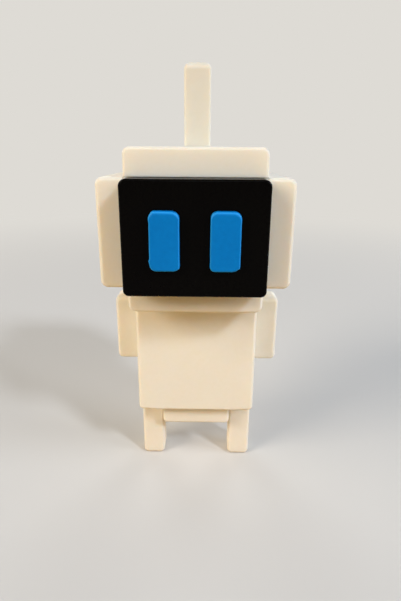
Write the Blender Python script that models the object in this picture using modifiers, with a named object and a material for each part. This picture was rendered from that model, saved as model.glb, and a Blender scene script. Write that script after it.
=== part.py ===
"""Block robot figure: a push-fit kit of square blocks on one grid, with a turning head, arms and legs."""

import math

import bmesh
import bpy
from mathutils import Vector

MM = 0.001
GRID = 5 * MM  # every block that shows is a whole number of these steps

# Heights of the stacked blocks above the soles
PELVIS_LOW = 4 * GRID
TORSO_LOW = 6 * GRID
ARM_LOW = 10 * GRID
TORSO_TOP = 16 * GRID
CHIN_TOP = 18 * GRID
EYE_LOW = 20 * GRID
EYE_TOP = 24 * GRID
CORE_TOP = 26 * GRID
CROWN_TOP = 28 * GRID
ANTENNA_TOP = 34 * GRID

# Half widths across (X) and half depths from front to back (Y)
LIMB_HALF = 1 * GRID
EYE_INNER = 1 * GRID
EYE_OUTER = 3 * GRID
LEG_INNER = 3 * GRID
BODY_HALF = 5 * GRID
EAR_OUTER = 7 * GRID
PELVIS_DEPTH = 2 * GRID
TORSO_DEPTH = 3 * GRID
HEAD_DEPTH = 6 * GRID
PANEL_DEPTH = 8 * GRID

# Rounded edges
HEAD_ROUND = 2.2 * MM
BODY_ROUND = 1.7 * MM
ARM_TOP_ROUND = 3 * MM  # more than on the other edges, so that a turning arm stays under the chin
EYE_CORNER = 2 * MM
EYE_RIM = 0.8 * MM
ROUND_STEPS = 3
EYE_STEPS = 2

# Gaps: between pieces pressed together, and between pieces that turn past each other
FIT = 0.3 * MM
SEAT = FIT / 2
RUN = 0.5 * MM
NECK_RUN = 1 * MM  # under the chin, which passes over the arms
PAST = 1 * MM  # how far a cutter runs past the face that it opens

# Head: tube walls, the plugs on crown and chin, eye flanges and the antenna's tenon
CORE_WALL = 6 * MM
PLUG_HEIGHT = 4.5 * MM
EYE_PROUD = 2.5 * MM
EYE_FLANGE = 2 * MM
FLANGE_THICK = 2.7 * MM
TENON_HALF = 3 * MM
TENON_LENGTH = 8 * MM

# Pegs that hold the panels and ears on the head
PEG_RADIUS = 2.5 * MM
PEG_CHAMFER = 0.5 * MM
PEG_BITE = 5 * MM  # depth in a panel or an ear
FACE_PEG_RISE = 3 * GRID  # above and below the middle of the face
EAR_PEG_REACH = 3.6 * GRID  # before and behind the middle of the ear

# Torso shell, its cover and the pelvis that slides in from the back
SHELL_WALL = 4 * MM
BEAM_HEIGHT = 12 * MM  # solid top of the torso, which holds the shoulder pins
COVER_THICK = 4 * MM
COVER_LIP = 3 * MM
SLOT_HALF = 8 * MM
SLOT_FRONT = -5 * MM
FOOT_PLATE_HALF = 14 * MM
FOOT_PLATE_FRONT = -8 * MM
FOOT_PLATE_THICK = 4 * MM

# Neck: a flanged post from inside the torso, a washer under the chin and a clip above its bearing
POST_RADIUS = 5 * MM
POST_FLANGE_RADIUS = 8 * MM
POST_FLANGE_THICK = 3 * MM
POST_TOP = CHIN_TOP + 3.5 * MM
POST_CHAMFER = 1 * MM
WASHER_RADIUS = 8 * MM
WASHER_THICK = 1.5 * MM
WASHER_TOP = TORSO_TOP + NECK_RUN - FIT
CLIP_LOW = CHIN_TOP - 1.1 * MM
CLIP_THICK = 1.4 * MM
CLIP_BORE = 4 * MM
CLIP_RADIUS = 6.5 * MM
CLIP_MOUTH_HALF = 3 * MM
CLIP_ROOM = 8 * MM  # radius of the chin's recess around the clip

# Shoulder pins and hip axle: the same shank and snap ridge
PIN_RADIUS = 2.5 * MM
PIN_RIDGE = 0.4 * MM
RIDGE_LENGTH = 1 * MM
RIDGE_TO_TIP = 2.5 * MM
PIN_CHAMFER = 0.6 * MM
PIN_WALL = 2 * MM  # plastic left between a pin's tip and the outside of the limb
PIN_PRESSED = 12 * MM  # length of a shoulder pin in the torso
SHOULDER_Z = TORSO_TOP - LIMB_HALF
HIP_Z = TORSO_LOW - RUN - LIMB_HALF

LEG_ARC_STEPS = 12
TURN_STEPS = 24

SIDES = (("left", 1), ("right", -1))  # the robot's own left is at +X

# The eyes stand out in front only, so the whole figure sits this far back to centre its box
CENTRE_SHIFT = EYE_PROUD / 2

WHITE = ("white_plastic", (0.83, 0.77, 0.68, 1.0), 0.55)
BLACK = ("black_plastic", (0.006, 0.006, 0.006, 1.0), 0.5)
BLUE = ("blue_plastic", (0.01, 0.17, 0.56, 1.0), 0.45)
GREY = ("grey_rubber", (0.06, 0.06, 0.06, 1.0), 0.8)


def clear_scene():
    for obj in list(bpy.data.objects):
        bpy.data.objects.remove(obj, do_unlink=True)


def new_collection(name):
    collection = bpy.data.collections.new(name)
    bpy.context.scene.collection.children.link(collection)
    return collection


def material(finish):
    name, colour, roughness = finish
    found = bpy.data.materials.get(name)
    if found:
        return found
    made = bpy.data.materials.new(name)
    made.use_nodes = True
    shader = made.node_tree.nodes["Principled BSDF"]
    shader.inputs["Base Color"].default_value = colour
    shader.inputs["Roughness"].default_value = roughness
    shader.inputs["Metallic"].default_value = 0.0
    return made


def pivot(name, at, parent=None):
    empty = bpy.data.objects.new(name, None)
    empty.location = at
    empty.parent = parent
    empty.empty_display_size = GRID
    bpy.context.scene.collection.objects.link(empty)
    return empty


def pivot_place(joint):
    """Where a joint's empty stands, measured from the root empty."""
    return Vector((0, 0, 0)) if joint.parent is None else Vector(joint.location)


def place(name, mesh, joint, finish=None):
    """Hangs a mesh made in the root's frame on a joint's empty. A mesh with no finish is a cutter."""
    mesh.name = name
    obj = bpy.data.objects.new(name, mesh)
    obj.parent = joint
    if finish:
        mesh.materials.append(material(finish))
        parts.objects.link(obj)
    else:
        obj.hide_render = True
        obj.display_type = "WIRE"
        cutters.objects.link(obj)
    return obj


def finished_mesh(bm, joint):
    """Closes a bmesh that was made in the root's frame into a mesh with its origin on the joint."""
    bmesh.ops.translate(bm, verts=bm.verts, vec=-pivot_place(joint))
    bmesh.ops.recalc_face_normals(bm, faces=bm.faces)
    mesh = bpy.data.meshes.new("mesh")
    bm.to_mesh(mesh)
    bm.free()
    mesh.shade_smooth()
    mesh.set_sharp_from_angle(angle=math.radians(40))
    return mesh


def box_bmesh(low, high):
    low, high = Vector(low), Vector(high)
    bm = bmesh.new()
    bmesh.ops.create_cube(bm, size=1.0)
    bmesh.ops.scale(bm, verts=bm.verts, vec=high - low)
    bmesh.ops.translate(bm, verts=bm.verts, vec=(low + high) / 2)
    return bm


def round_edges(bm, edges, radius, steps):
    bmesh.ops.bevel(
        bm, geom=edges, offset=radius, segments=steps, profile=0.5, affect="EDGES", clamp_overlap=True
    )


def lies_in(edge, axis, value):
    return all(abs(vert.co[axis] - value) < SEAT / 10 for vert in edge.verts)


def block(name, low, high, joint, finish=None, radius=0.0, flat=None):
    """A box. Its edges are rounded, apart from those in the one flat plane, given as (axis, value)."""
    bm = box_bmesh(low, high)
    if radius:
        edges = [edge for edge in bm.edges if not (flat and lies_in(edge, *flat))]
        round_edges(bm, edges, radius, ROUND_STEPS)
    return place(name, finished_mesh(bm, joint), joint, finish)


def eye_prism(name, low, high, joint, corner, finish=None, rim=0.0):
    """A plate facing the front, with rounded corners and, if asked for, a rounded front rim."""
    bm = box_bmesh(low, high)
    along = [edge for edge in bm.edges if abs(edge.verts[0].co.y - edge.verts[1].co.y) > PAST]
    round_edges(bm, along, corner, ROUND_STEPS)
    if rim:
        front = [edge for edge in bm.edges if lies_in(edge, 1, low[1])]
        round_edges(bm, front, rim, EYE_STEPS)
    return place(name, finished_mesh(bm, joint), joint, finish)


def arm_bar(name, inner, outer, joint):
    """A square bar with rounded edges, the ones around its top more than the others."""
    near, far = sorted((inner, outer))
    bm = box_bmesh((near, -LIMB_HALF, ARM_LOW), (far, LIMB_HALF, TORSO_TOP))
    weight = bm.edges.layers.float.new("bevel_weight_edge")
    for edge in bm.edges:
        edge[weight] = 1.0 if lies_in(edge, 2, TORSO_TOP) else BODY_ROUND / ARM_TOP_ROUND
    arm = place(name, finished_mesh(bm, joint), joint, WHITE)
    rounding = arm.modifiers.new("Rounding", "BEVEL")
    rounding.limit_method = "WEIGHT"
    rounding.width = ARM_TOP_ROUND
    rounding.segments = ROUND_STEPS
    return arm


def leg_bar(name, inner, outer, joint):
    """A square bar that stands on its sole, its top rounded about the hip to turn under the torso."""
    bm = bmesh.new()
    outline = [bm.verts.new((inner, LIMB_HALF, 0.0)), bm.verts.new((inner, -LIMB_HALF, 0.0))]
    for step in range(LEG_ARC_STEPS + 1):
        angle = math.pi * step / LEG_ARC_STEPS
        y = -LIMB_HALF * math.cos(angle)
        outline.append(bm.verts.new((inner, y, HIP_Z + LIMB_HALF * math.sin(angle))))
    face = bm.faces.new(outline)
    swept = bmesh.ops.extrude_face_region(bm, geom=[face])["geom"]
    moved = [item for item in swept if isinstance(item, bmesh.types.BMVert)]
    bmesh.ops.translate(bm, verts=moved, vec=(outer - inner, 0, 0))
    edges = [
        edge
        for edge in bm.edges
        if lies_in(edge, 0, inner) or lies_in(edge, 0, outer) or lies_in(edge, 2, 0.0)
    ]
    round_edges(bm, edges, BODY_ROUND, ROUND_STEPS)
    return place(name, finished_mesh(bm, joint), joint, WHITE)


def turned(name, profile, joint, finish=None, at=(0, 0, 0), turn=(0, 0, 0), ring=False):
    """A turned piece: (radius, height) points from its top down its outer side, spun about its own Z."""
    mesh = bpy.data.meshes.new("mesh")
    count = len(profile)
    edges = [(i, i + 1) for i in range(count - 1)]
    if ring:
        edges.append((count - 1, 0))
    mesh.from_pydata([(radius, 0, height) for radius, height in profile], edges, [])
    obj = place(name, mesh, joint, finish)
    obj.location = Vector(at) - pivot_place(joint)
    obj.rotation_euler = turn
    spin = obj.modifiers.new("Spin", "SCREW")
    spin.steps = TURN_STEPS
    spin.render_steps = TURN_STEPS
    spin.use_merge_vertices = True
    spin.merge_threshold = 1e-6
    spin.use_smooth_shade = not ring
    return obj


def boolean(obj, tool, operation):
    modifier = obj.modifiers.new(tool.name, "BOOLEAN")
    modifier.operation = operation
    modifier.object = tool
    modifier.solver = "EXACT"


def cut(obj, *tools):
    for tool in tools:
        boolean(obj, tool, "DIFFERENCE")


def join(obj, *tools):
    for tool in tools:
        boolean(obj, tool, "UNION")


def rod_profile(radius, low, high, chamfer=0.0):
    """A plain rod from low to high, with chamfered ends if asked for."""
    if not chamfer:
        return [(0, high), (radius, high), (radius, low), (0, low)]
    return [
        (0, high),
        (radius - chamfer, high),
        (radius, high - chamfer),
        (radius, low + chamfer),
        (radius - chamfer, low),
        (0, low),
    ]


def ring_profile(inner, outer, low, high):
    return [(outer, high), (outer, low), (inner, low), (inner, high)]


def snap_end(tip, grow=0.0):
    """The end of a pin from its tip down past its snap ridge. Grown by a gap, it is the bore's end."""
    radius = PIN_RADIUS + grow
    ridge = tip - RIDGE_TO_TIP
    slope = 1.5 * PIN_RIDGE
    points = [(0, tip + grow)]
    if grow:
        points.append((radius, tip + grow))
    else:
        points += [(radius - PIN_CHAMFER, tip), (radius, tip - PIN_CHAMFER)]
    return points + [
        (radius, ridge + slope + grow),
        (radius + PIN_RIDGE, ridge + grow),
        (radius + PIN_RIDGE, ridge - RIDGE_LENGTH - grow),
        (radius, ridge - RIDGE_LENGTH - slope - grow),
    ]


def build_head(head):
    mid_z = (CHIN_TOP + CORE_TOP) / 2
    core = block(
        "head_core",
        (-BODY_HALF + SEAT, -HEAD_DEPTH + SEAT, CHIN_TOP + SEAT),
        (BODY_HALF - SEAT, HEAD_DEPTH - SEAT, CORE_TOP - SEAT),
        head,
        WHITE,
    )
    hollow_x = BODY_HALF - CORE_WALL
    hollow_y = HEAD_DEPTH - CORE_WALL
    hollow = block(
        "core_hollow",
        (-hollow_x, -hollow_y, CHIN_TOP - PAST),
        (hollow_x, hollow_y, CORE_TOP + PAST),
        head,
    )
    cut(core, hollow)
    plug = Vector((hollow_x - FIT, hollow_y - FIT, 0))
    build_crown(head, plug)
    build_chin(head, plug)
    face, back = build_panels(head)
    ears = build_ears(head)
    pin_panels(head, core, face, back, mid_z)
    pin_ears(head, core, ears, mid_z)


def build_crown(head, plug):
    low = CORE_TOP + SEAT
    crown = block(
        "crown_block",
        (-BODY_HALF, -HEAD_DEPTH, low),
        (BODY_HALF, HEAD_DEPTH, CROWN_TOP),
        head,
        WHITE,
        HEAD_ROUND,
        (2, low),
    )
    under = block(
        "crown_plug",
        (-plug.x, -plug.y, CORE_TOP - PLUG_HEIGHT),
        (plug.x, plug.y, low + PAST),
        head,
    )
    socket_half = TENON_HALF + FIT
    socket = block(
        "antenna_socket",
        (-socket_half, -socket_half, CROWN_TOP - TENON_LENGTH - FIT),
        (socket_half, socket_half, CROWN_TOP + PAST),
        head,
    )
    join(crown, under)
    cut(crown, socket)
    foot = CROWN_TOP + FIT
    antenna = block(
        "antenna",
        (-LIMB_HALF, -LIMB_HALF, foot),
        (LIMB_HALF, LIMB_HALF, ANTENNA_TOP),
        head,
        WHITE,
        HEAD_ROUND,
        (2, foot),
    )
    tenon = block(
        "antenna_tenon",
        (-TENON_HALF, -TENON_HALF, CROWN_TOP - TENON_LENGTH),
        (TENON_HALF, TENON_HALF, foot + PAST),
        head,
    )
    join(antenna, tenon)


def build_chin(head, plug):
    top = CHIN_TOP - SEAT
    chin = block(
        "chin_block",
        (-BODY_HALF, -HEAD_DEPTH, TORSO_TOP + NECK_RUN),
        (BODY_HALF, HEAD_DEPTH, top),
        head,
        WHITE,
        HEAD_ROUND,
        (2, top),
    )
    above = block(
        "chin_plug",
        (-plug.x, -plug.y, top - PAST),
        (plug.x, plug.y, CHIN_TOP + PLUG_HEIGHT),
        head,
    )
    bearing_top = CLIP_LOW - FIT
    bore_radius = POST_RADIUS + FIT
    bore = turned(
        "chin_bore",
        [
            (0, CHIN_TOP + PLUG_HEIGHT + PAST),
            (CLIP_ROOM, CHIN_TOP + PLUG_HEIGHT + PAST),
            (CLIP_ROOM, bearing_top),
            (bore_radius, bearing_top),
            (bore_radius, TORSO_TOP - PAST),
            (0, TORSO_TOP - PAST),
        ],
        head,
    )
    join(chin, above)
    cut(chin, bore)


def build_panels(head):
    seat_y = HEAD_DEPTH + SEAT
    face = block(
        "face_panel",
        (-BODY_HALF, -PANEL_DEPTH, CHIN_TOP),
        (BODY_HALF, -seat_y, CORE_TOP),
        head,
        BLACK,
        HEAD_ROUND,
        (1, -seat_y),
    )
    back = block(
        "back_panel",
        (-BODY_HALF, seat_y, CHIN_TOP),
        (BODY_HALF, PANEL_DEPTH, CORE_TOP),
        head,
        WHITE,
        HEAD_ROUND,
        (1, seat_y),
    )
    for side, sign in SIDES:
        build_eye(head, face, side, sign, seat_y)
    return face, back


def build_eye(head, face, side, sign, seat_y):
    near, far = sorted((sign * EYE_INNER, sign * EYE_OUTER))
    flange_front = -seat_y - FLANGE_THICK
    grown = EYE_FLANGE + FIT
    eye = eye_prism(
        side + "_eye",
        (near, -PANEL_DEPTH - EYE_PROUD, EYE_LOW),
        (far, flange_front + PAST, EYE_TOP),
        head,
        EYE_CORNER,
        BLUE,
        EYE_RIM,
    )
    flange = eye_prism(
        side + "_eye_flange",
        (near - EYE_FLANGE, flange_front, EYE_LOW - EYE_FLANGE),
        (far + EYE_FLANGE, -seat_y, EYE_TOP + EYE_FLANGE),
        head,
        EYE_CORNER,
    )
    window = eye_prism(
        side + "_eye_window",
        (near - FIT, -PANEL_DEPTH - PAST, EYE_LOW - FIT),
        (far + FIT, -seat_y + PAST, EYE_TOP + FIT),
        head,
        EYE_CORNER + FIT,
    )
    recess = eye_prism(
        side + "_eye_recess",
        (near - grown, flange_front - FIT, EYE_LOW - grown),
        (far + grown, -seat_y + PAST, EYE_TOP + grown),
        head,
        EYE_CORNER + FIT,
    )
    join(eye, flange)
    cut(face, window, recess)


def build_ears(head):
    ears = []
    inner = BODY_HALF + SEAT
    for side, sign in SIDES:
        near, far = sorted((sign * inner, sign * EAR_OUTER))
        ears.append(
            block(
                side + "_ear",
                (near, -HEAD_DEPTH, CHIN_TOP),
                (far, HEAD_DEPTH, CORE_TOP),
                head,
                WHITE,
                HEAD_ROUND,
                (0, sign * inner),
            )
        )
    return ears


def pin_panels(head, core, face, back, mid_z):
    """Two pegs each for face and back, one above the other between the eyes."""
    hole_reach = HEAD_DEPTH + PEG_BITE + FIT
    peg_in = HEAD_DEPTH - CORE_WALL + FIT
    peg_out = HEAD_DEPTH + PEG_BITE
    along_y = math.radians(90)
    for level, rise in (("upper", FACE_PEG_RISE), ("lower", -FACE_PEG_RISE)):
        at = (0, 0, mid_z + rise)
        hole = turned(
            level + "_panel_peg_hole",
            rod_profile(PEG_RADIUS + FIT, -hole_reach, hole_reach),
            head,
            at=at,
            turn=(along_y, 0, 0),
        )
        for obj in (core, face, back):
            cut(obj, hole)
        peg = rod_profile(PEG_RADIUS, peg_in, peg_out, PEG_CHAMFER)
        turned("face_peg_" + level, peg, head, WHITE, at, (along_y, 0, 0))
        turned("back_peg_" + level, peg, head, WHITE, at, (-along_y, 0, 0))


def pin_ears(head, core, ears, mid_z):
    """Two pegs for each ear, one in front of the other."""
    hole_reach = BODY_HALF + PEG_BITE + FIT
    peg_in = BODY_HALF - CORE_WALL + FIT
    peg_out = BODY_HALF + PEG_BITE
    along_x = math.radians(90)
    for end, reach in (("front", -EAR_PEG_REACH), ("rear", EAR_PEG_REACH)):
        at = (0, reach, mid_z)
        hole = turned(
            end + "_ear_peg_hole",
            rod_profile(PEG_RADIUS + FIT, -hole_reach, hole_reach),
            head,
            at=at,
            turn=(0, along_x, 0),
        )
        for obj in (core, *ears):
            cut(obj, hole)
        peg = rod_profile(PEG_RADIUS, peg_in, peg_out, PEG_CHAMFER)
        turned("left_ear_peg_" + end, peg, head, WHITE, at, (0, along_x, 0))
        turned("right_ear_peg_" + end, peg, head, WHITE, at, (0, -along_x, 0))


def build_torso(root):
    seam = TORSO_DEPTH - COVER_THICK
    shell = block(
        "torso_front",
        (-BODY_HALF, -TORSO_DEPTH, TORSO_LOW),
        (BODY_HALF, seam - FIT, TORSO_TOP),
        root,
        WHITE,
        BODY_ROUND,
        (1, seam - FIT),
    )
    inside = BODY_HALF - SHELL_WALL
    floor = TORSO_LOW + SHELL_WALL
    ceiling = TORSO_TOP - BEAM_HEIGHT
    hollow = block(
        "torso_hollow",
        (-inside, -TORSO_DEPTH + SHELL_WALL, floor),
        (inside, seam + PAST, ceiling),
        root,
    )
    slot = block(
        "pelvis_slot",
        (-SLOT_HALF - FIT, SLOT_FRONT - FIT, TORSO_LOW - PAST),
        (SLOT_HALF + FIT, seam + PAST, floor + PAST),
        root,
    )
    washer_seat = WASHER_TOP - WASHER_THICK - FIT
    neck_hole = turned(
        "neck_hole",
        [
            (0, TORSO_TOP + PAST),
            (WASHER_RADIUS + FIT, TORSO_TOP + PAST),
            (WASHER_RADIUS + FIT, washer_seat),
            (POST_RADIUS + FIT, washer_seat),
            (POST_RADIUS + FIT, ceiling - PAST),
            (0, ceiling - PAST),
        ],
        root,
    )
    cut(shell, hollow, slot, neck_hole)
    for side, sign in SIDES:
        pin_hole = turned(
            side + "_pin_hole",
            rod_profile(PIN_RADIUS + FIT, BODY_HALF - PIN_PRESSED - FIT, BODY_HALF + PAST),
            root,
            at=(0, 0, SHOULDER_Z),
            turn=(0, sign * math.radians(90), 0),
        )
        cut(shell, pin_hole)
    cover = block(
        "torso_back",
        (-BODY_HALF, seam, TORSO_LOW),
        (BODY_HALF, TORSO_DEPTH, TORSO_TOP),
        root,
        WHITE,
        BODY_ROUND,
        (1, seam),
    )
    lip = block(
        "torso_back_lip",
        (-inside + FIT, seam - COVER_LIP, floor + FOOT_PLATE_THICK + 2 * FIT),
        (inside - FIT, seam + PAST, ceiling - FIT),
        root,
    )
    join(cover, lip)
    build_pelvis(root, floor, seam)


def build_pelvis(root, floor, seam):
    top = TORSO_LOW - FIT
    pelvis = block(
        "pelvis_block",
        (-LEG_INNER, -PELVIS_DEPTH, PELVIS_LOW),
        (LEG_INNER, PELVIS_DEPTH, top),
        root,
        WHITE,
        BODY_ROUND,
        (2, top),
    )
    stem = block(
        "pelvis_stem",
        (-SLOT_HALF, SLOT_FRONT, top - PAST),
        (SLOT_HALF, PELVIS_DEPTH - FIT, floor + PAST),
        root,
    )
    plate = block(
        "pelvis_plate",
        (-FOOT_PLATE_HALF, FOOT_PLATE_FRONT, floor + FIT),
        (FOOT_PLATE_HALF, seam - FIT, floor + FIT + FOOT_PLATE_THICK),
        root,
    )
    bore_reach = LEG_INNER + PAST
    bore = turned(
        "hip_bore",
        rod_profile(PIN_RADIUS + FIT, -bore_reach, bore_reach),
        root,
        at=(0, 0, HIP_Z),
        turn=(0, math.radians(90), 0),
    )
    join(pelvis, stem, plate)
    cut(pelvis, bore)


def build_neck(root):
    flange_top = TORSO_TOP - BEAM_HEIGHT - FIT
    groove_radius = CLIP_BORE - FIT
    turned(
        "neck_post",
        [
            (0, POST_TOP),
            (POST_RADIUS - POST_CHAMFER, POST_TOP),
            (POST_RADIUS, POST_TOP - POST_CHAMFER),
            (POST_RADIUS, CLIP_LOW + CLIP_THICK + FIT),
            (groove_radius, CLIP_LOW + CLIP_THICK + FIT),
            (groove_radius, CLIP_LOW - FIT),
            (POST_RADIUS, CLIP_LOW - FIT),
            (POST_RADIUS, flange_top),
            (POST_FLANGE_RADIUS, flange_top),
            (POST_FLANGE_RADIUS, flange_top - POST_FLANGE_THICK),
            (0, flange_top - POST_FLANGE_THICK),
        ],
        root,
        WHITE,
    )
    clip = turned(
        "neck_clip",
        ring_profile(CLIP_BORE, CLIP_RADIUS, CLIP_LOW, CLIP_LOW + CLIP_THICK),
        root,
        WHITE,
        ring=True,
    )
    mouth = block(
        "clip_mouth",
        (-CLIP_MOUTH_HALF, -CLIP_RADIUS - PAST, CLIP_LOW - PAST),
        (CLIP_MOUTH_HALF, 0, CLIP_LOW + CLIP_THICK + PAST),
        root,
    )
    cut(clip, mouth)
    turned(
        "neck_washer",
        ring_profile(POST_RADIUS + FIT, WASHER_RADIUS, WASHER_TOP - WASHER_THICK, WASHER_TOP),
        root,
        GREY,
        ring=True,
    )


def build_arm(root, joint, side, sign):
    tip = EAR_OUTER - PIN_WALL - FIT
    turn = (0, sign * math.radians(90), 0)
    at = (0, 0, SHOULDER_Z)
    arm = arm_bar(side + "_arm", sign * (BODY_HALF + RUN), sign * EAR_OUTER, joint)
    shank = [(PIN_RADIUS + FIT, BODY_HALF - PAST), (0, BODY_HALF - PAST)]
    bore = turned(side + "_arm_bore", snap_end(tip, FIT) + shank, joint, at=at, turn=turn)
    cut(arm, bore)
    inner_end = BODY_HALF - PIN_PRESSED
    foot = [
        (PIN_RADIUS, inner_end + PIN_CHAMFER),
        (PIN_RADIUS - PIN_CHAMFER, inner_end),
        (0, inner_end),
    ]
    turned(side + "_shoulder_pin", snap_end(tip) + foot, root, WHITE, at, turn)


def build_leg(joint, side, sign):
    tip = BODY_HALF - PIN_WALL - FIT
    turn = (0, sign * math.radians(90), 0)
    at = (0, 0, HIP_Z)
    leg = leg_bar(side + "_leg", sign * (LEG_INNER + RUN), sign * BODY_HALF, joint)
    shank = [(PIN_RADIUS + FIT, LEG_INNER - PAST), (0, LEG_INNER - PAST)]
    bore = turned(side + "_leg_bore", snap_end(tip, FIT) + shank, joint, at=at, turn=turn)
    cut(leg, bore)


def build_hip_axle(root):
    end = snap_end(BODY_HALF - PIN_WALL - FIT)
    profile = end + [(radius, -height) for radius, height in reversed(end)]
    turned("hip_axle", profile, root, WHITE, (0, 0, HIP_Z), (0, math.radians(90), 0))


def build_robot():
    root = pivot("robot", (0, CENTRE_SHIFT, 0))
    head = pivot("neck_pivot", (0, 0, TORSO_TOP), root)
    build_torso(root)
    build_neck(root)
    build_head(head)
    build_hip_axle(root)
    for side, sign in SIDES:
        shoulder = pivot(side + "_shoulder_pivot", (sign * BODY_HALF, 0, SHOULDER_Z), root)
        hip = pivot(side + "_hip_pivot", (sign * LEG_INNER, 0, HIP_Z), root)
        build_arm(root, shoulder, side, sign)
        build_leg(hip, side, sign)


clear_scene()
parts = new_collection("block_robot")
cutters = new_collection("cutters")
build_robot()
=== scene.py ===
import math

import bmesh
import bpy
from mathutils import Matrix, Vector, noise


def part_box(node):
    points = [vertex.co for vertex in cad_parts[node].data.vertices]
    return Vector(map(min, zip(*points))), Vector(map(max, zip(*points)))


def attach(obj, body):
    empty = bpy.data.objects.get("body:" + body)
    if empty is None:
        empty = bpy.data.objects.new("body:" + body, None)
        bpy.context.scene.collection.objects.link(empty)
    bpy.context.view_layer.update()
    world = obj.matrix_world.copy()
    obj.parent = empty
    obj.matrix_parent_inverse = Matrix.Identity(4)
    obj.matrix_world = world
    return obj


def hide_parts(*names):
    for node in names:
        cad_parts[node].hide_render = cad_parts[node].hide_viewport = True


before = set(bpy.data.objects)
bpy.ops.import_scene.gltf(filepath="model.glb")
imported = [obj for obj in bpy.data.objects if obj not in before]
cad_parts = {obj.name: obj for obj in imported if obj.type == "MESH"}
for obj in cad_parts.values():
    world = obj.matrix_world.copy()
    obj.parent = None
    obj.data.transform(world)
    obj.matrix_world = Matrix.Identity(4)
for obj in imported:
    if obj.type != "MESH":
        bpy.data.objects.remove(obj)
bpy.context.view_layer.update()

mm = 0.001
antennaLow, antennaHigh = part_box("antenna")
midY = (antennaLow.y + antennaHigh.y) / 2  # plane of all joints, a little behind the origin


# Camera, solved from the straight edges of the photo
cameraSetup = {
    "place": (3.82, -186.30, 137.90),  # mm
    "pitchDown": 18.249,  # degrees
    "yaw": 0.683,
    "roll": 0.402,
    "lens": 26.745,  # mm on a 36 mm long side
}


def addCamera(setup):
    data = bpy.data.cameras.new("camera")
    data.sensor_width = 36.0
    data.lens = setup["lens"]
    data.clip_start = 0.01
    data.clip_end = 50.0
    camera = bpy.data.objects.new("camera", data)
    bpy.context.scene.collection.objects.link(camera)
    aim = (
        Matrix.Rotation(math.radians(setup["yaw"]), 4, "Z")
        @ Matrix.Rotation(math.radians(90 - setup["pitchDown"]), 4, "X")
        @ Matrix.Rotation(math.radians(setup["roll"]), 4, "Z")
    )
    camera.matrix_world = Matrix.Translation(Vector(setup["place"]) * mm) @ aim
    bpy.context.scene.camera = camera


addCamera(cameraSetup)
print("camera set")


# Colours and material nodes
def colourOf(hexText):  # sRGB hex to linear
    channels = [int(hexText[i : i + 2], 16) / 255 for i in (0, 2, 4)]
    return (*[c / 12.92 if c <= 0.04045 else ((c + 0.055) / 1.055) ** 2.4 for c in channels], 1.0)


def addNode(material, kind, links=None, **settings):
    node = material.node_tree.nodes.new(kind)
    for name, value in settings.items():
        setattr(node, name, value)
    for socketName, value in (links or {}).items():
        socket = node.inputs[socketName]
        if isinstance(value, bpy.types.NodeSocket):
            material.node_tree.links.new(value, socket)
        else:
            socket.default_value = value
    return node


def newMaterial(name):
    material = bpy.data.materials.new(name)
    material.use_nodes = True
    material.node_tree.nodes.clear()
    return material


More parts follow.
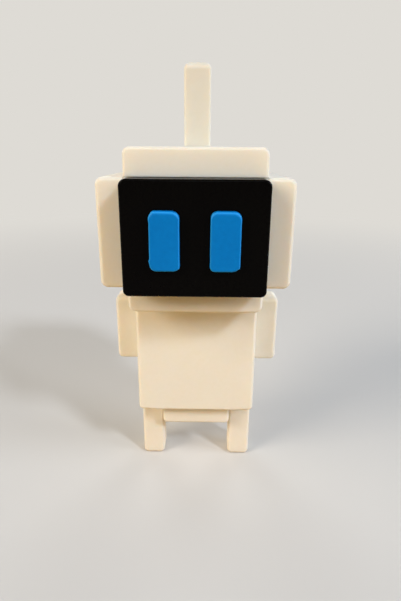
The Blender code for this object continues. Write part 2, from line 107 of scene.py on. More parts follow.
# Printed PLA: laid down in thin layers, then smoothed, so it is satin with a faint grain across the layers.
# Its tone drifts a little over the part, and its rounded edges take a painted tone: painted shade on the
# white, a painted sheen on the black, partly a painted highlight on the blue. Without layers it also makes
# moulded rubber.
def satinFinish(name, look):
    material = newMaterial(name)
    coords = addNode(material, "ShaderNodeTexCoord")
    place = coords.outputs["Object"]

    # edge mask from the surface direction: 0 on the flats, up to 1 on the rounded edges
    facing = addNode(material, "ShaderNodeVectorMath", {0: coords.outputs["Normal"]}, operation="ABSOLUTE")
    parts = addNode(material, "ShaderNodeSeparateXYZ", {0: facing.outputs[0]})
    wider = addNode(
        material, "ShaderNodeMath", {0: parts.outputs[0], 1: parts.outputs[1]}, operation="MAXIMUM"
    )
    widest = addNode(
        material, "ShaderNodeMath", {0: wider.outputs[0], 1: parts.outputs[2]}, operation="MAXIMUM"
    )
    edge = addNode(
        material,
        "ShaderNodeMapRange",
        {
            "Value": widest.outputs[0],
            "From Min": look["edgeStart"],
            "From Max": look["edgeEnd"],
            "To Min": 0.0,
            "To Max": look["edge"],
        },
        interpolation_type="SMOOTHSTEP",
    )

    # slow drift of the filament's tone, and a fine mottle
    drift = addNode(
        material,
        "ShaderNodeTexNoise",
        {"Vector": place, "Scale": 1 / (look["driftSize"] * mm), "Detail": 2.0},
    )
    mottle = addNode(
        material,
        "ShaderNodeTexNoise",
        {"Vector": place, "Scale": 1 / (look["mottleSize"] * mm), "Detail": 4.0},
    )
    blend = addNode(
        material,
        "ShaderNodeMath",
        {0: drift.outputs["Fac"], 1: mottle.outputs["Fac"]},
        operation="ADD",
    )
    toneLow, toneHigh = look["toneRange"]
    tone = addNode(
        material, "ShaderNodeMapRange", {"Value": blend.outputs[0], "From Min": toneLow, "From Max": toneHigh}
    )
    base = addNode(
        material,
        "ShaderNodeMix",
        {0: tone.outputs[0], 6: colourOf(look["low"]), 7: colourOf(look["high"])},
        data_type="RGBA",
    )
    # painted edge tone: painted shade on white, painted sheen on black, partly a painted highlight on blue
    edgeWearAndPaintedLight = addNode(
        material,
        "ShaderNodeMix",
        {0: edge.outputs[0], 6: base.outputs[2], 7: colourOf(look["edgeWearAndPaintedLight"])},
        data_type="RGBA",
    )

    # layers are 0.2 mm in the real print; drawn at twice that, as finer ones don't show at this size
    bandLength = math.tau / 20  # of the wave texture at a scale of 1
    layers = addNode(
        material,
        "ShaderNodeTexWave",
        {"Vector": place, "Scale": bandLength / (look["layer"] * mm), "Distortion": 0.6, "Detail": 1.0},
        wave_type="BANDS",
        bands_direction=look["layerAxis"],
    )
    grain = addNode(
        material,
        "ShaderNodeTexNoise",
        {"Vector": place, "Scale": 1 / (look["grainSize"] * mm), "Detail": 3.0},
    )
    mottleLow, mottleHigh = look["mottleRange"]
    rough = addNode(
        material,
        "ShaderNodeMapRange",
        {
            "Value": mottle.outputs["Fac"],
            "From Min": mottleLow,
            "From Max": mottleHigh,
            "To Min": look["roughness"] - look["roughnessDrift"],
            "To Max": look["roughness"] + look["roughnessDrift"],
        },
    )
    layerBump = addNode(
        material,
        "ShaderNodeBump",
        {
            "Strength": look["layerDepth"],
            "Distance": look["layerHeight"] * mm,
            "Height": layers.outputs["Fac"],
        },
    )
    grainBump = addNode(
        material,
        "ShaderNodeBump",
        {
            "Strength": look["grainDepth"],
            "Distance": look["grainHeight"] * mm,
            "Height": grain.outputs["Fac"],
            "Normal": layerBump.outputs[0],
        },
    )
    shader = addNode(
        material,
        "ShaderNodeBsdfPrincipled",
        {
            "Base Color": edgeWearAndPaintedLight.outputs[2],
            "Roughness": rough.outputs[0],
            "IOR": look["ior"],
            "Specular IOR Level": look["specular"],
            "Subsurface Weight": look["glow"],
            "Subsurface Radius": look["glowSpread"],
            "Subsurface Scale": look["glowDepth"] * mm,
            "Normal": grainBump.outputs[0],
        },
    )
    addNode(material, "ShaderNodeOutputMaterial", {"Surface": shader.outputs[0]})
    return material


# white PLA lets some light in, which softens its shadows; its rounded edges are painted a little darker, as
# painted shade
whiteLook = {
    "low": "ece8d9",
    "high": "eeeadd",
    "edgeWearAndPaintedLight": "dddacc",
    "edge": 0.6,
    "edgeStart": 0.97,
    "edgeEnd": 0.74,
    "driftSize": 22.0,  # mm
    "mottleSize": 1.6,
    "grainSize": 0.35,
    "layer": 0.4,
    "layerHeight": 0.03,
    "grainHeight": 0.05,
    "toneRange": (0.75, 1.25),  # where most of the drift and mottle added up lies
    "mottleRange": (0.3, 0.7),
    "layerAxis": "Z",
    "layerDepth": 0.10,
    "grainDepth": 0.12,
    "ior": 1.46,
    "roughness": 0.58,
    "roughnessDrift": 0.05,
    "specular": 0.1,
    "glow": 0.8,
    "glowDepth": 3.0,  # mm
    "glowSpread": (1.0, 0.85, 0.7),  # red goes deepest
}
shadedMastLook = dict(whiteLook, low="dedbcd", high="e0ddd0", edgeWearAndPaintedLight="d1cfc1")  # a darker copy of the white, as painted shade on the antenna
# black PLA is smoother and shows faint reflections; its rounded edges are painted lighter, as a painted sheen
blackLook = dict(
    whiteLook,
    low="040303",
    high="060504",
    edgeWearAndPaintedLight="141210",
    edge=0.3,
    layerAxis="Y",
    roughness=0.28,
    specular=0.045,
    glow=0.0,
)
# blue PLA, paler along its trimmed edges, partly real and partly a painted highlight
blueLook = dict(
    whiteLook,
    low="0075c5",
    high="007bcc",
    edgeWearAndPaintedLight="2e9fee",
    edge=0.9,
    edgeStart=0.999,
    edgeEnd=0.66,
    layerAxis="Y",
    roughness=0.45,
    specular=0.1,
    glow=0.1,
)
# moulded rubber: matt and dark grey, with a coarse grain and no layers
rubberLook = dict(
    whiteLook,
    low="2f2f30",
    high="3a3a3b",
    edgeWearAndPaintedLight="454546",
    edge=0.3,
    layerDepth=0.0,
    grainDepth=0.5,
    roughness=0.8,
    specular=0.3,
    glow=0.0,
)
whitePla = satinFinish("white_printed_pla", whiteLook)
shadedMastPla = satinFinish("white_printed_pla_painted_shade", shadedMastLook)
blackPla = satinFinish("black_printed_pla", blackLook)
bluePla = satinFinish("blue_printed_pla", blueLook)
washerRubber = satinFinish("moulded_rubber", rubberLook)
print("materials made")


# Shapes: all sizes in mm, measured from the robot's own middle plane
samePlace = 0.01 * mm  # points closer than this are taken as one
mergeGap = 0.0005 * mm
sharpAngle = 35  # degrees, past which an edge stays crisp
roundSteps = 8
fitGap = 0.3  # clearance of plugs and pins in their holes
overrun = 1.0  # by which a cut or a plug runs past the surface that it meets


def at(x, y, z):
    return Vector((x * mm, y * mm + midY, z * mm))


def bevelEdges(bm, edges, radius):
    bmesh.ops.bevel(
        bm,
        geom=edges,
        offset=radius * mm,
        offset_type="OFFSET",
        segments=roundSteps,
        profile=0.5,
        affect="EDGES",
        clamp_overlap=True,
        material=-1,
    )


def edgesInPlane(bm, axis, level):
    return [e for e in bm.edges if all(abs(v.co[axis] - level) < samePlace for v in e.verts)]


# A plain block, which pieces, plugs and cuts start from
def blockShape(low, high):
    lowest, highest = at(*low), at(*high)
    bm = bmesh.new()
    stretch = Matrix.Diagonal((*(highest - lowest), 1.0))
    bmesh.ops.create_cube(bm, size=1.0, matrix=Matrix.Translation((lowest + highest) / 2) @ stretch)
    return bm


# Rounds edges by their own weights, which are shares of the widest rounding
def roundByWeight(piece, widest):
    rounding = piece.modifiers.new("rounding", "BEVEL")
    rounding.limit_method = "WEIGHT"
    rounding.width = widest * mm
    rounding.segments = roundSteps
    rounding.profile = 0.5
    rounding.use_clamp_overlap = False


# The sides of a block: axis, and 0 for its low or 1 for its high end
blockSides = {
    "right": (0, 0),
    "left": (0, 1),
    "front": (1, 0),
    "back": (1, 1),
    "bottom": (2, 0),
    "top": (2, 1),
}


# A block with rounded edges. A rounding is for every edge, for those of a side ("top") or for the one between
# two sides ("front bottom"), and a later one takes the place of an earlier one. A corner seen from the front
# that is rounder than the front and back edges is rounded first, so that these edges run round it.
def roundedBlock(name, low, high, roundings):
    bm = blockShape(low, high)
    ends = (at(*low), at(*high))

    def sidesOf(edge):
        return {
            side
            for side, (axis, end) in blockSides.items()
            if all(abs(v.co[axis] - ends[end][axis]) < samePlace for v in edge.verts)
        }

    def roundingOf(sides):
        fitting = [r for where, r in roundings.items() if where == "every" or set(where.split()) <= sides]
        return fitting[-1]

    faceSides = {"front", "back"}
    for edge in [e for e in bm.edges if not sidesOf(e) & faceSides]:
        beside = [e for v in edge.verts for e in v.link_edges if e != edge]
        corner = roundingOf(sidesOf(edge))
        if corner > max(roundingOf(sidesOf(e)) for e in beside):
            bevelEdges(bm, [edge], corner)
    weight = bm.edges.layers.float.new("bevel_weight_edge")
    widest = max(roundings.values())
    for edge in bm.edges:
        sides = sidesOf(edge)
        if sides & faceSides or len(sides) == 2:
            edge[weight] = roundingOf(sides) / widest
    piece = objectFrom(bm, name)
    roundByWeight(piece, widest)
    return piece


# A plate that faces the front, with rounded corners
def plateShape(low, high, corner):
    bm = blockShape(low, high)
    bevelEdges(bm, [e for e in bm.edges if abs(e.verts[0].co.y - e.verts[1].co.y) > samePlace], corner)
    return bm


# A turned shape from (radius, height) points, spun about Z, then laid along an axis through a point
def turnedShape(profile, through, along=(0, 0, 1), steps=48):
    bm = bmesh.new()
    verts = [bm.verts.new((radius * mm, 0, height * mm)) for radius, height in profile]
    edges = [bm.edges.new(pair) for pair in zip(verts, verts[1:])]
    bmesh.ops.spin(
        bm,
        geom=verts + edges,
        cent=(0, 0, 0),
        axis=(0, 0, 1),
        angle=math.tau,
        steps=steps,
        use_merge=True,
        use_duplicate=False,
    )
    bmesh.ops.remove_doubles(bm, verts=bm.verts, dist=mergeGap)
    turn = Vector((0, 0, 1)).rotation_difference(Vector(along)).to_matrix().to_4x4()
    bmesh.ops.transform(bm, matrix=Matrix.Translation(at(*through)) @ turn, verts=bm.verts)
    bmesh.ops.recalc_face_normals(bm, faces=bm.faces)
    return bm


# A plain round bore from one height to another
def boreShape(radius, ends, through, along):
    low, high = ends
    return turnedShape([(0, high), (radius, high), (radius, low), (0, low)], through, along)


def objectFrom(bm, name):
    mesh = bpy.data.meshes.new(name)
    bm.to_mesh(mesh)
    bm.free()
    made = bpy.data.objects.new(name, mesh)
    bpy.context.scene.collection.objects.link(made)
    return made


# Joins or cuts a piece with other shapes and keeps the result as its mesh
def shapeWith(piece, operation, shapes):
    tools = [objectFrom(bm, "tool") for bm in shapes]
    for tool in tools:
        step = piece.modifiers.new("step", "BOOLEAN")
        step.object = tool
        step.operation = operation
        step.solver = "EXACT"
    bpy.context.view_layer.update()
    done = piece.evaluated_get(bpy.context.evaluated_depsgraph_get())
    old = piece.data
    mesh = bpy.data.meshes.new_from_object(done)
    piece.modifiers.clear()
    piece.data = mesh
    bpy.data.meshes.remove(old)
    for tool in tools:
        toolMesh = tool.data
        bpy.data.objects.remove(tool)
        bpy.data.meshes.remove(toolMesh)


def finishPiece(piece, body, node, material):
    mesh = piece.data
    bm = bmesh.new()
    bm.from_mesh(mesh)
    bmesh.ops.remove_doubles(bm, verts=bm.verts, dist=mergeGap)
    bmesh.ops.dissolve_degenerate(bm, edges=bm.edges, dist=mergeGap)
    bm.to_mesh(mesh)
    bm.free()
    mesh.name = piece.name
    mesh.materials.clear()
    mesh.materials.append(material)
    mesh.shade_smooth()
    mesh.set_sharp_from_angle(angle=math.radians(sharpAngle))
    weighted = piece.modifiers.new("evenFlats", "WEIGHTED_NORMAL")
    weighted.keep_sharp = True
    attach(piece, body)
    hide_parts(node)


# Head: blocks on a grid of 5 mm steps, less small gaps where they meet or turn
headSetup = {
    "halfWidth": 25.0,
    "halfDepth": 30.0,
    "panelDepth": 40.0,
    "earReach": 34.9,
    "chinLow": 81.0,
    "chinTop": 90.0,
    "coreTop": 130.0,
    "crownTop": 140.0,
    "antennaTop": 170.0,
    "antennaHalf": 5.0,
    "antennaGap": 0.03,
    "fillet": 2.7,  # corners as seen from the front; the edges of the front and back are rounded less
    "edge": 1.1,
    "earFillet": 2.7,
    "earEdge": 1.3,
    "earLow": 90.5,
    "mastEdge": 0.6,
    "mastTop": 2.6,
    "faceEdge": 0.9,
    "faceFillet": 2.0,
    "faceTopFillet": 2.4,
    "faceLow": 90.3,
    "seat": 0.15,  # half of the gap between pressed pieces
    "seatEdge": 0.15,
    "plugHalf": (18.7, 23.7),
    "plugHeight": 4.5,
    "tenonHalf": 3.0,
    "tenonLength": 8.0,
    "neckBore": 5.3,
    "clipBore": 8.0,
    "clipSeat": 88.6,
    "pegHole": 2.8,
    "pegDepth": 5.3,
    "facePegRise": 15.0,
    "earPegReach": 18.0,
}


def makeHead(s):
    w, d, e = s["halfWidth"], s["halfDepth"], s["seatEdge"]
    soft = {"every": s["fillet"], "front": s["edge"], "back": s["edge"]}
    plugX, plugY = s["plugHalf"]
    socket = s["tenonHalf"] + fitGap

    low = s["coreTop"] + s["seat"]
    crown = roundedBlock("crown", (-w, -d, low), (w, d, s["crownTop"]), dict(soft, bottom=e))
    plug = blockShape((-plugX, -plugY, s["coreTop"] - s["plugHeight"]), (plugX, plugY, low + overrun))
    shapeWith(crown, "UNION", [plug])
    holeLow = s["crownTop"] - s["tenonLength"] - fitGap
    hole = blockShape((-socket, -socket, holeLow), (socket, socket, s["crownTop"] + overrun))
    shapeWith(crown, "DIFFERENCE", [hole])
    finishPiece(crown, "head", "crown_block", whitePla)

    foot = s["crownTop"] + s["antennaGap"]
    a, t = s["antennaHalf"], s["tenonHalf"]
    edges = dict(soft, front=s["mastEdge"], back=s["mastEdge"], top=s["mastTop"], bottom=e)
    mast = roundedBlock("mast", (-a, -a, foot), (a, a, s["antennaTop"]), edges)
    tenon = blockShape((-t, -t, s["crownTop"] - s["tenonLength"]), (t, t, foot + overrun))
    shapeWith(mast, "UNION", [tenon])
    finishPiece(mast, "head", "antenna", shadedMastPla)

    top = s["chinTop"] - s["seat"]
    chin = roundedBlock("chin", (-w, -d, s["chinLow"]), (w, d, top), dict(soft, top=e))
    plugTop = s["chinTop"] + s["plugHeight"]
    plug = blockShape((-plugX, -plugY, top - overrun), (plugX, plugY, plugTop))
    shapeWith(chin, "UNION", [plug])
    wide, narrow, seat = s["clipBore"], s["neckBore"], s["clipSeat"]
    boreLow, boreHigh = s["chinLow"] - overrun, plugTop + overrun
    bore = [(0, boreHigh), (wide, boreHigh), (wide, seat), (narrow, seat), (narrow, boreLow), (0, boreLow)]
    shapeWith(chin, "DIFFERENCE", [turnedShape(bore, (0, 0, 0))])
    finishPiece(chin, "head", "chin_block", whitePla)

    middle = (s["chinTop"] + s["coreTop"]) / 2
    sides = (("left_side", "left_ear", 1, "right"), ("right_side", "right_ear", -1, "left"))
    for name, node, sign, innerSide in sides:
        near, far = sorted((sign * (w + s["seat"]), sign * s["earReach"]))
        edges = {"every": s["earFillet"], "front": s["earEdge"], "back": s["earEdge"], innerSide: e}
        ear = roundedBlock(name, (near, -d, s["earLow"]), (far, d, s["coreTop"]), edges)
        pegEnds = (w - overrun, w + s["pegDepth"])
        holes = [
            boreShape(s["pegHole"], pegEnds, (0, y, middle), (sign, 0, 0))
            for y in (-s["earPegReach"], s["earPegReach"])
        ]
        shapeWith(ear, "DIFFERENCE", holes)
        finishPiece(ear, "head", node, whitePla)


makeHead(headSetup)
print("head blocks made")


# Face, back and eyes
eyeSetup = {
    "front": -42.5,
    "back": -31.85,
    # outlines, clockwise from the top left as seen from the front: x, z and rounding of each corner (mm);
    # the eyes were trimmed by hand, so no two corners are alike
    "left_eye": [
        (5.2, 120.0, 2.35),
        (15.37, 120.0, 2.5),
        (15.3, 101.9, 0.0),
        (15.08, 101.1, 0.0),
        (13.75, 100.25, 0.0),
        (12.6, 100.0, 0.0),
        (4.92, 100.0, 2.0),
        (5.16, 103.2, 0.0),
    ],
    "right_eye": [
        (-15.2, 117.3, 0.0),
        (-15.18, 118.1, 0.0),
        (-14.75, 119.0, 0.0),
        (-14.3, 119.65, 0.0),
        (-13.7, 120.05, 0.0),
        (-5.05, 120.0, 2.7),
        (-5.05, 101.6, 0.0),
        (-5.15, 101.0, 0.0),
        (-6.1, 100.35, 0.0),
        (-7.1, 100.0, 0.0),
        (-15.2, 100.0, 2.4),
        (-15.06, 116.0, 0.0),
    ],
    "sideRim": 0.6,
    "topRim": 1.25,
    "rimBlend": (117.6, 119.8),  # heights between which the rim widens
    "rimSteps": 6,
    "flangeLow": (3.0, 98.0),  # inner end and foot of the flange that keeps an eye in its window
    "flangeHigh": (17.0, 122.0),
    "flangeThick": 2.7,
    "flangeCorner": 1.8,
    "gap": 0.15,
    "waver": 0.05,
    "waverLength": 4.0,
    "waverStep": 0.6,  # length of the stretches that long sides are cut into
    "waverShift": Vector((0, 5.5, 0)),  # to another layer of the noise, so that x and z waver apart
    "burr": (-15.25, 103.4),  # a small one low on the outer side of the right eye
    "burrSize": 0.7,
    "burrHeight": 0.35,
}


# The outline of an eye, drawn at its front, pushed back to a depth and grown all round by a gap
def eyeShape(s, name, front, back, grow=0.0):
    bm = bmesh.new()
    outline = bm.faces.new([bm.verts.new(at(x, front, z)) for x, z, _ in s[name]])
    swept = bmesh.ops.extrude_face_region(bm, geom=[outline])["geom"]
    moved = [v for v in swept if isinstance(v, bmesh.types.BMVert)]
    bmesh.ops.translate(bm, verts=moved, vec=(0, (back - front) * mm, 0))
    bmesh.ops.recalc_face_normals(bm, faces=bm.faces)
    for x, z, rounding in s[name]:
        along = Vector((x * mm, z * mm))
        corner = [e for e in bm.edges if all((v.co.xz - along).length < samePlace for v in e.verts)]
        if rounding:
            bevelEdges(bm, corner, rounding)
    if grow:
        across, upright = [x for x, _, _ in s[name]], [z for _, z, _ in s[name]]
        width, height = max(across) - min(across), max(upright) - min(upright)
        middle = at(min(across) + width / 2, 0, min(upright) + height / 2)
        growth = (1 + 2 * grow / width, 1, 1 + 2 * grow / height)
        bmesh.ops.scale(bm, vec=growth, space=Matrix.Translation(-middle), verts=bm.verts)
    return bm


# An eye that stands out of its window: its sides waver a little, and its rim is widest at the top
def makeEye(s, name, node):
    bm = eyeShape(s, node, s["front"], s["back"])
    for cap in [f for f in bm.faces if abs(f.normal.y) > 0.5]:
        bm.faces.remove(cap)
    for wall in bm.faces[:]:
        ends = [e for e in wall.edges if e.is_boundary]
        cuts = int(ends[0].calc_length() / (s["waverStep"] * mm))
        if cuts > 2:  # the short ones at the corners stay whole
            bmesh.ops.subdivide_edges(bm, edges=ends, cuts=cuts)
    bmesh.ops.holes_fill(bm, edges=[e for e in bm.edges if e.is_boundary])
    bmesh.ops.recalc_face_normals(bm, faces=bm.faces)
    burrX, burrZ = s["burr"]
    for vert in bm.verts:
        flat = Vector((vert.co.x, 0, vert.co.z)) / (s["waverLength"] * mm)
        away = math.hypot(vert.co.x - burrX * mm, vert.co.z - burrZ * mm) / (s["burrSize"] * mm)
        vert.co.x += noise.noise(flat) * s["waver"] * mm
        vert.co.z += noise.noise(flat + s["waverShift"]) * s["waver"] * mm
        if away < 1:
            vert.co.x -= s["burrHeight"] * mm * (1 - away * away) ** 2

    # the rim: the front is extruded ring by ring and drawn in, each vertex by its own rounding
    frontY = at(0, s["front"], 0).y
    front = [f for f in bm.faces if all(abs(v.co.y - frontY) < samePlace for v in f.verts)][0]
    ring, facing = front.verts[:], front.normal.copy()
    start, end = s["rimBlend"]
    rims = []
    for before, vert, after in zip(ring[-1:] + ring[:-1], ring, ring[1:] + ring[:1]):
        first = facing.cross(vert.co - before.co).normalized()
        second = facing.cross(after.co - vert.co).normalized()
        inward = (first + second).normalized()
        rise = min(max((vert.co.z / mm - start) / (end - start), 0.0), 1.0)
        rim = (s["sideRim"] + (s["topRim"] - s["sideRim"]) * rise) * mm
        rims.append((vert.co.copy(), inward / inward.dot(first), rim))
    for step in range(s["rimSteps"] + 1):
        if step:
            front = bmesh.ops.extrude_discrete_faces(bm, faces=[front])["faces"][0]
        turn = math.pi / 2 * step / s["rimSteps"]
        for vert, (place, inward, rim) in zip(front.verts, rims):
            vert.co = place + inward * rim * (1 - math.cos(turn)) + Vector((0, rim * (1 - math.sin(turn)), 0))
    bmesh.ops.recalc_face_normals(bm, faces=bm.faces)
    return objectFrom(bm, name)


def flangeShape(s, sign, grow, front, back):
    near, far = sorted((sign * (s["flangeLow"][0] - grow), sign * (s["flangeHigh"][0] + grow)))
    low, high = s["flangeLow"][1] - grow, s["flangeHigh"][1] + grow
    return plateShape((near, front, low), (far, back, high), s["flangeCorner"])


def makePanels(s, eye):
    w = s["halfWidth"]
    corners = {"every": s["faceFillet"], "top left": s["faceTopFillet"], "top right": s["faceTopFillet"]}
    seatY = -s["halfDepth"] - s["seat"]
    middle = (s["chinTop"] + s["coreTop"]) / 2
    levels = (middle - s["facePegRise"], middle + s["facePegRise"])
    pegEnds = (s["halfDepth"] - overrun, s["halfDepth"] + s["pegDepth"])

    edges = dict(corners, front=s["faceEdge"], back=s["seatEdge"])
    face = roundedBlock("face", (-w, -s["panelDepth"], s["faceLow"]), (w, seatY, s["coreTop"]), edges)
    cuts = [boreShape(s["pegHole"], pegEnds, (0, 0, z), (0, -1, 0)) for z in levels]
    for node, sign in (("left_eye", 1), ("right_eye", -1)):
        cuts.append(eyeShape(eye, node, -s["panelDepth"] - overrun, seatY + overrun, eye["gap"]))
        cuts.append(flangeShape(eye, sign, fitGap, seatY - eye["flangeThick"] - fitGap, seatY + overrun))
    shapeWith(face, "DIFFERENCE", cuts)
    finishPiece(face, "head", "face_panel", blackPla)

    edges = dict(corners, back=s["faceEdge"], front=s["seatEdge"])
    back = roundedBlock("back", (-w, -seatY, s["faceLow"]), (w, s["panelDepth"], s["coreTop"]), edges)
    shapeWith(back, "DIFFERENCE", [boreShape(s["pegHole"], pegEnds, (0, 0, z), (0, 1, 0)) for z in levels])
    finishPiece(back, "head", "back_panel", whitePla)

    for name, node, sign in (("left_lens", "left_eye", 1), ("right_lens", "right_eye", -1)):
        lens = makeEye(eye, name, node)
        shapeWith(lens, "UNION", [flangeShape(eye, sign, 0.0, seatY - eye["flangeThick"], seatY)])
        finishPiece(lens, "head", node, bluePla)


makePanels(headSetup, eyeSetup)
print("face, back and eyes made")


# Torso: a shell that is open at the back, its cover, and the pelvis that slides in from behind
torsoSetup = {
    "halfWidth": 25.0,
    "halfDepth": 15.0,
    "low": 30.0,
    "top": 80.0,
    "fillet": 1.8,
    "edge": 1.2,
    "frontFoot": 0.5,  # rounding of the front edge at the bottom
    "pelvisFillet": 1.8,
    "pelvisEdge": 1.0,
    "seatEdge": 0.15,
    "wall": 4.0,
    "beam": 12.0,  # solid top that holds the shoulder pins
    "seam": 11.0,
    "seamGap": 0.05,
    "lip": 3.0,
    "lipLow": 38.6,
    "neckHole": 5.3,
    "washerHole": 8.3,
    "washerSeat": 78.9,
    "pinHole": 2.8,
    "pinDepth": 12.3,
    "shoulderZ": 75.0,
    "pelvisHalf": (15.0, 10.0),
    "pelvisLow": 20.0,
    "pelvisTop": 29.95,
    "stemHalf": 8.0,
    "stemFront": -5.0,
    "plateHalf": 14.0,
    "plateFront": -8.0,
    "plateThick": 4.0,
    "hipZ": 24.5,
    "hipBore": 2.8,
}


def makeTorso(s):
    w, d, f = s["halfWidth"], s["halfDepth"], s["fillet"]
    inside, floor, ceiling = w - s["wall"], s["low"] + s["wall"], s["top"] - s["beam"]
    seam = s["seam"] - s["seamGap"]
    edges = {"every": f, "front": s["edge"], "front bottom": s["frontFoot"], "back": s["seatEdge"]}
    shell = roundedBlock("shell", (-w, -d, s["low"]), (w, seam, s["top"]), edges)
    wide, narrow, over, under = s["washerHole"], s["neckHole"], s["top"] + overrun, ceiling - overrun
    neck = [(0, over), (wide, over), (wide, s["washerSeat"]), (narrow, s["washerSeat"])]
    neck += [(narrow, under), (0, under)]
    slotHalf, slotFront, behind = s["stemHalf"] + fitGap, s["stemFront"] - fitGap, s["seam"] + overrun
    cuts = [
        blockShape((-inside, -d + s["wall"], floor), (inside, behind, ceiling)),
        blockShape((-slotHalf, slotFront, s["low"] - overrun), (slotHalf, behind, floor + overrun)),
        turnedShape(neck, (0, 0, 0)),
    ]
    pinEnds = (w - s["pinDepth"], w + overrun)
    for sign in (1, -1):
        cuts.append(boreShape(s["pinHole"], pinEnds, (0, 0, s["shoulderZ"]), (sign, 0, 0)))
    shapeWith(shell, "DIFFERENCE", cuts)
    finishPiece(shell, "torso", "torso_front", whitePla)

    edges = {"every": f, "back": s["edge"], "front": s["seatEdge"]}
    cover = roundedBlock("cover", (-w, s["seam"], s["low"]), (w, d, s["top"]), edges)
    lipHalf = inside - fitGap
    lip = blockShape((-lipHalf, s["seam"] - s["lip"], s["lipLow"]), (lipHalf, behind, ceiling - fitGap))
    shapeWith(cover, "UNION", [lip])
    finishPiece(cover, "torso", "torso_back", whitePla)

    px, py = s["pelvisHalf"]
    top = s["pelvisTop"]
    edge = s["pelvisEdge"]
    edges = {"every": s["pelvisFillet"], "front": edge, "back": edge, "top": s["seatEdge"]}
    pelvis = roundedBlock("pelvis", (-px, -py, s["pelvisLow"]), (px, py, top), edges)
    stemHalf, plateHalf, plateLow = s["stemHalf"], s["plateHalf"], floor + fitGap
    stem = blockShape((-stemHalf, s["stemFront"], top - overrun), (stemHalf, py - fitGap, floor + overrun))
    plateEnd = (plateHalf, s["seam"] - fitGap, plateLow + s["plateThick"])
    plate = blockShape((-plateHalf, s["plateFront"], plateLow), plateEnd)
    shapeWith(pelvis, "UNION", [stem, plate])
    bore = boreShape(s["hipBore"], (-px - overrun, px + overrun), (0, 0, s["hipZ"]), (1, 0, 0))
    shapeWith(pelvis, "DIFFERENCE", [bore])
    finishPiece(pelvis, "torso", "pelvis_block", whitePla)


makeTorso(torsoSetup)
print("torso made")


# Arms and legs: square bars, bored for a pin with a snap ridge. An arm's top is flat with well rounded edges,
# a leg's top is round about the hip.
limbSetup = {
    "half": 5.0,
    "fillet": 2.2,
    "edge": 1.2,
    "arcSteps": 32,
    "pinBore": 2.8,
    "ridge": 0.4,
    "ridgeEnds": (3.8, 2.2),  # back from the tip of the pin
    "ridgeSlope": 0.6,
    "arms": {"inner": 25.12, "outer": 35.0, "low": 50.3, "axisZ": 75.0, "mouth": 24.0, "tip": 32.7},
    "armTop": 80.0,
    "armTopFillet": 2.9,
    "legs": {"inner": 15.12, "outer": 25.0, "low": 0.0, "axisZ": 24.5, "mouth": 14.0, "tip": 22.7},
    "soleFillet": 2.2,
}


def armBar(s, name, limb, sign):
    near, far = sorted((sign * limb["inner"], sign * limb["outer"]))
    low, high = (near, -s["half"], limb["low"]), (far, s["half"], s["armTop"])
    edges = {"every": s["fillet"], "front": s["edge"], "back": s["edge"], "top": s["armTopFillet"]}
    return roundedBlock(name, low, high, edges)


def legBar(s, name, limb, sign):
    bm = bmesh.new()
    x, h = sign * limb["inner"], s["half"]
    first = bm.verts.new(at(x, -h, limb["axisZ"]))
    arc = bmesh.ops.spin(
        bm,
        geom=[first],
        cent=at(x, 0, limb["axisZ"]),
        axis=(-1, 0, 0),
        angle=math.pi,
        steps=s["arcSteps"],
        use_duplicate=False,
    )
    last = [v for v in arc["geom_last"] if isinstance(v, bmesh.types.BMVert)][0]
    cornerBack = bm.verts.new(at(x, h, limb["low"]))
    cornerFront = bm.verts.new(at(x, -h, limb["low"]))
    for pair in ((last, cornerBack), (cornerBack, cornerFront), (cornerFront, first)):
        bm.edges.new(pair)
    side = bmesh.ops.contextual_create(bm, geom=bm.edges[:])["faces"]
    swept = bmesh.ops.extrude_face_region(bm, geom=side)["geom"]
    moved = [v for v in swept if isinstance(v, bmesh.types.BMVert)]
    width = (limb["outer"] - limb["inner"]) * sign * mm
    bmesh.ops.translate(bm, verts=moved, vec=(width, 0, 0))
    bmesh.ops.recalc_face_normals(bm, faces=bm.faces)
    soleEdges = edgesInPlane(bm, 2, limb["low"] * mm)
    soleSides = [e for e in soleEdges if abs(e.verts[0].co.y - e.verts[1].co.y) > h * mm]
    bevelEdges(bm, soleSides, s["soleFillet"])
    weight = bm.edges.layers.float.new("bevel_weight_edge")
    frontAndBack = edgesInPlane(bm, 1, at(0, -h, 0).y) + edgesInPlane(bm, 1, at(0, h, 0).y)
    outlines = edgesInPlane(bm, 0, x * mm) + edgesInPlane(bm, 0, x * mm + width)
    axisZ = limb["axisZ"] * mm
    roundTop = [e for e in outlines if all(v.co.z > axisZ - samePlace for v in e.verts)]
    for edge in frontAndBack + roundTop:
        # the lines where a flat side runs on into the round top aren't edges to round
        if not all(abs(v.co.z - axisZ) < samePlace for v in edge.verts):
            edge[weight] = 1.0
    leg = objectFrom(bm, name)
    roundByWeight(leg, s["edge"])
    return leg


def makeLimbs(s):
    r, k = s["pinBore"], s["pinBore"] + s["ridge"]
    for kind, bar, bodies in (
        ("arms", armBar, ("left_arm", "right_arm")),
        ("legs", legBar, ("left_leg", "right_leg")),
    ):
        limb = s[kind]
        end, slope = limb["tip"] + fitGap, s["ridgeSlope"]
        near, far = (limb["tip"] - back for back in s["ridgeEnds"])
        profile = [(0, end), (r, end), (r, far + slope), (k, far), (k, near), (r, near - slope)]
        profile += [(r, limb["mouth"]), (0, limb["mouth"])]
        for body, sign in zip(bodies, (1, -1)):
            piece = bar(s, body.replace("_", "_block_"), limb, sign)
            bore = turnedShape(profile, (0, 0, limb["axisZ"]), (sign, 0, 0))
            shapeWith(piece, "DIFFERENCE", [bore])
            finishPiece(piece, body, body, whitePla)


makeLimbs(limbSetup)
print("arms and legs made")


# The pieces inside keep their CAD shape and take the same finishes
for nodeName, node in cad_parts.items():
    node.data.materials.clear()
    node.data.materials.append(washerRubber if nodeName == "neck_washer" else whitePla)
print("inner pieces finished")


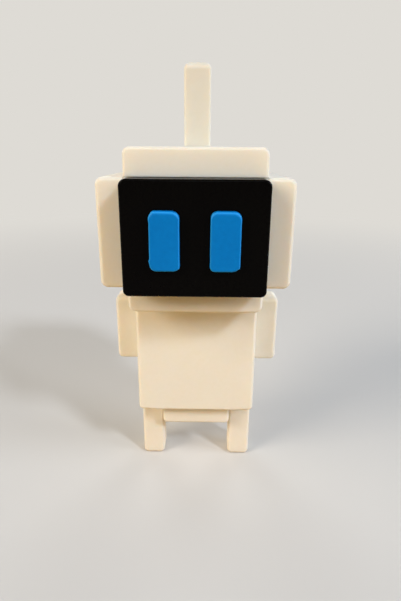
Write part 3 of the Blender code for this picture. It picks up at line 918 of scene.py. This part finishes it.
# Floor and studio light
stageSetup = {
    "floorRadius": 6.0,  # m
    "floorSteps": 96,
    "shown": "dedbd5",  # the background
    "board": "d3d3d0",  # the lit floor, which comes out as the background does
    "bounce": "c4a26d",  # what the floor throws back on the figure, which warms its lower side
    "fadeStart": 0.22,  # m from the middle: here the lit floor begins to pass into the plain background
    "fadeEnd": 0.9,
    "sky": 0.03,
    "skyColour": "fffaf2",
}


def makeStage(s):
    bm = bmesh.new()
    bmesh.ops.create_circle(bm, cap_ends=True, radius=s["floorRadius"], segments=s["floorSteps"])
    floor = objectFrom(bm, "floor")
    material = newMaterial("matt_floor_board")
    light = addNode(material, "ShaderNodeLightPath")
    coords = addNode(material, "ShaderNodeTexCoord")
    away = addNode(material, "ShaderNodeVectorMath", {0: coords.outputs["Object"]}, operation="LENGTH")
    fade = addNode(
        material,
        "ShaderNodeMapRange",
        {"Value": away.outputs["Value"], "From Min": s["fadeStart"], "From Max": s["fadeEnd"]},
        interpolation_type="SMOOTHSTEP",
    )
    seen = addNode(
        material,
        "ShaderNodeMath",
        {0: light.outputs["Is Camera Ray"], 1: light.outputs["Is Glossy Ray"]},
        operation="MAXIMUM",
    )
    colour = addNode(
        material,
        "ShaderNodeMix",
        {0: seen.outputs[0], 6: colourOf(s["bounce"]), 7: colourOf(s["board"])},
        data_type="RGBA",
    )
    board = addNode(material, "ShaderNodeBsdfDiffuse", {"Color": colour.outputs[2]})
    plain = addNode(material, "ShaderNodeEmission", {"Color": colourOf(s["shown"]), "Strength": 1.0})
    share = addNode(
        material, "ShaderNodeMath", {0: seen.outputs[0], 1: fade.outputs[0]}, operation="MULTIPLY"
    )
    surface = addNode(
        material, "ShaderNodeMixShader", {0: share.outputs[0], 1: board.outputs[0], 2: plain.outputs[0]}
    )
    addNode(material, "ShaderNodeOutputMaterial", {"Surface": surface.outputs[0]})
    floor.data.materials.append(material)

    world = bpy.data.worlds.new("studio")
    bpy.context.scene.world = world
    world.use_nodes = True
    world.node_tree.nodes.clear()
    light = addNode(world, "ShaderNodeLightPath")
    fill = addNode(
        world, "ShaderNodeBackground", {"Color": colourOf(s["skyColour"]), "Strength": s["sky"]}
    )
    shown = addNode(world, "ShaderNodeBackground", {"Color": colourOf(s["shown"]), "Strength": 1.0})
    both = addNode(
        world,
        "ShaderNodeMixShader",
        {0: light.outputs["Is Camera Ray"], 1: fill.outputs[0], 2: shown.outputs[0]},
    )
    addNode(world, "ShaderNodeOutputWorld", {"Surface": both.outputs[0]})


makeStage(stageSetup)

# Each lamp: turn from the front towards +X, height angle, distance and width (m), share of full light, colour
lampSetup = {
    "left": (-56, 28, 3.0, 1.6, 0.66, "fff1e0"),
    "side_left": (-84, 20, 3.0, 1.6, 0.22, "fff1e0"),
    "front": (0, 36, 3.0, 0.8, 0.12, "f2f6ff"),
    "front_right": (45, 37, 3.0, 0.45, 0.45, "edf3ff"),
    "side_right": (78, 20, 3.0, 1.6, 0.54, "edf3ff"),
    "back_left": (-155, 14, 3.0, 1.6, 0.34, "ffffff"),
    "back_right": (155, 14, 3.0, 1.6, 0.34, "ffffff"),
}
lampAim = 85  # mm up, the middle of the figure


def addLamps(lamps):
    target = Vector((0, 0, lampAim * mm))
    for name, (turn, height, away, width, share, colour) in lamps.items():
        data = bpy.data.lights.new(name, "AREA")
        data.shape = "DISK"
        data.size = width
        data.energy = share * math.pi * math.pi * away * away  # full light shows a colour as it is written
        data.color = colourOf(colour)[:3]
        lamp = bpy.data.objects.new(name, data)
        a, e = math.radians(turn), math.radians(height)
        towards = Vector((math.sin(a) * math.cos(e), -math.cos(a) * math.cos(e), math.sin(e)))
        lamp.location = target + towards * away
        lamp.rotation_mode = "QUATERNION"
        lamp.rotation_quaternion = (-towards).to_track_quat("-Z", "Y")
        bpy.context.scene.collection.objects.link(lamp)


addLamps(lampSetup)
bpy.context.scene.view_settings.view_transform = "Standard"
print("stage and lamps set")
